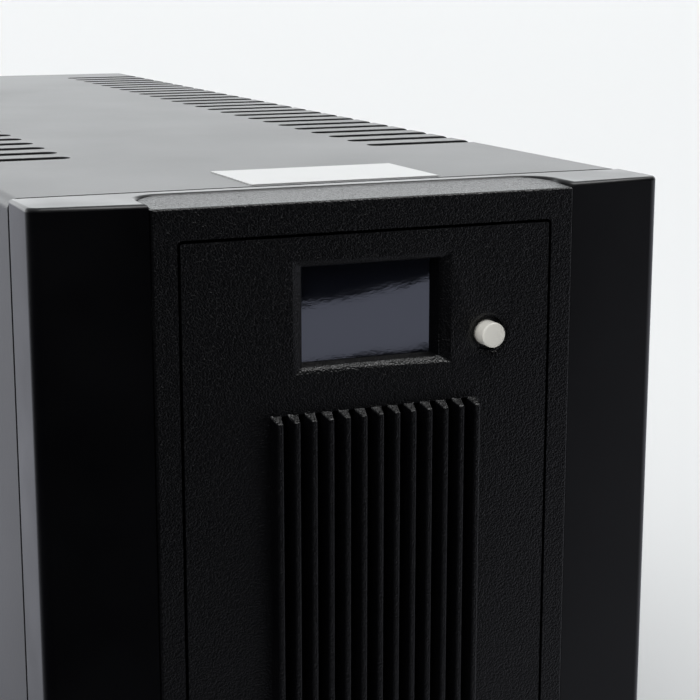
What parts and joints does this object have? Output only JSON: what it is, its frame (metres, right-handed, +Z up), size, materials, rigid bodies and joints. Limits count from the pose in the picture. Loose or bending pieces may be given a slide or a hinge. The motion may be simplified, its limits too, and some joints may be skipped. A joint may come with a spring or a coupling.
{
  "type": "uninterruptible power supply",
  "caption": "Tower uninterruptible power supply: steel case, black plastic bezel with display and power button, front grille, battery pack, power electronics, rear fan and sockets.",
  "frame": {"origin": "middle of the bounding box's underside, on the plane that the rubber feet stand on", "axes": "+Z up, +Y from the front panel to the rear panel, +X to the right as seen by someone facing the front panel"},
  "size_m": [0.151, 0.464, 0.2202],
  "materials": {
    "case_paint": "black powder coat, fine texture, low gloss",
    "zinc_steel": "zinc-plated sheet, satin",
    "screw_black": "black oxide, satin",
    "plated_metal": "nickel plate",
    "hood_plastic": "black moulded plastic, fine spark texture, satin",
    "grained_plastic": "black moulded plastic with a pebble leather grain, satin",
    "lens": "smoked clear window, glossy",
    "lcd": "dark display glass",
    "circuit_green": "solder-masked circuit board",
    "component_black": "moulded component bodies",
    "socket_black": "black moulded thermoplastic, satin",
    "brass_contact": "plain brass",
    "copper_wire": "enamelled copper winding",
    "heat_aluminium": "extruded, plain",
    "core_steel": "laminated core, dark",
    "capacitor_sleeve": "dark blue sleeve",
    "relay_blue": "blue moulded case",
    "battery_case": "dark grey moulded case",
    "cable_red": "red insulation",
    "cable_black": "black insulation",
    "ribbon_grey": "grey flat cable",
    "rubber_black": "moulded rubber, matte",
    "filter_foam": "open-cell foam, black",
    "button_ivory": "ivory moulded plastic, satin gloss",
    "terminal_green": "green moulded terminal block",
    "label_white": "white coated label, blank",
    "label_silver": "silver coated label, blank",
    "fan_black": "black moulded fan parts"
  },
  "bodies": {
    "case": {"chassis": "zinc_steel", "top_cover": "case_paint", "rear_panel": "case_paint", "battery_bay": "zinc_steel", "battery_tray": "zinc_steel", "battery_retainer": "zinc_steel", "retainer_screws": "plated_metal", "battery_front_left": "battery_case", "battery_front_right": "battery_case", "battery_rear_left": "battery_case", "battery_rear_right": "battery_case", "battery_terminals": "brass_contact", "battery_cable_red": "cable_red", "battery_cable_black": "cable_black", "main_board": "circuit_green", "board_standoffs": "brass_contact", "heatsink_left": "heat_aluminium", "heatsink_right": "heat_aluminium", "power_transistors": "component_black", "bus_capacitors": "capacitor_sleeve", "chokes": "copper_wire", "charger_transformer": "core_steel", "relays": "relay_blue", "control_board": "circuit_green", "fan_frame": "fan_black", "fan_guard": "plated_metal", "fan_screws": "screw_black", "ac_inlet": "socket_black", "inlet_pins": "plated_metal", "outlets": "socket_black", "circuit_breaker": "socket_black", "breaker_nut": "plated_metal", "usb_port": "plated_metal", "network_ports": "socket_black", "epo_terminal": "terminal_green", "interface_board": "circuit_green", "slot_cover": "case_paint", "slot_cover_screws": "screw_black", "earth_screw": "brass_contact", "feet": "rubber_black", "foot_screws": "plated_metal", "side_screws": "screw_black", "rear_screws": "screw_black", "top_label": "label_white", "rear_label": "label_silver", "hood": "hood_plastic", "front_panel": "grained_plastic"},
    "display_door": {"display_panel": "hood_plastic", "lcd_lens": "lens", "lcd_module": "lcd", "display_board": "circuit_green", "display_screws": "plated_metal", "tact_switch": "component_black", "air_filter": "filter_foam", "ribbon_cable": "ribbon_grey"},
    "power_button": {"power_button": "button_ivory", "switch_plunger": "component_black"},
    "fan_rotor": {"fan_rotor": "fan_black"},
    "breaker_button": {"breaker_button": "button_ivory"}
  },
  "joints": [
    {"name": "display_door_pull", "type": "slide", "parent": "case", "child": "display_door", "axis": [0, -1, 0], "range_m": [0, 0.08]},
    {"name": "power_button_press", "type": "slide", "parent": "display_door", "child": "power_button", "axis": [0, 1, 0], "range_m": [0, 0.001], "stiffness_N_per_m": 1500},
    {"name": "fan_spin", "type": "hinge", "parent": "case", "child": "fan_rotor", "pos_m": [0.024, 0.216, 0.166], "axis": [0, 1, 0], "continuous": true},
    {"name": "breaker_reset", "type": "slide", "parent": "case", "child": "breaker_button", "axis": [0, 1, 0], "range_m": [0, 0.003]}
  ]
}
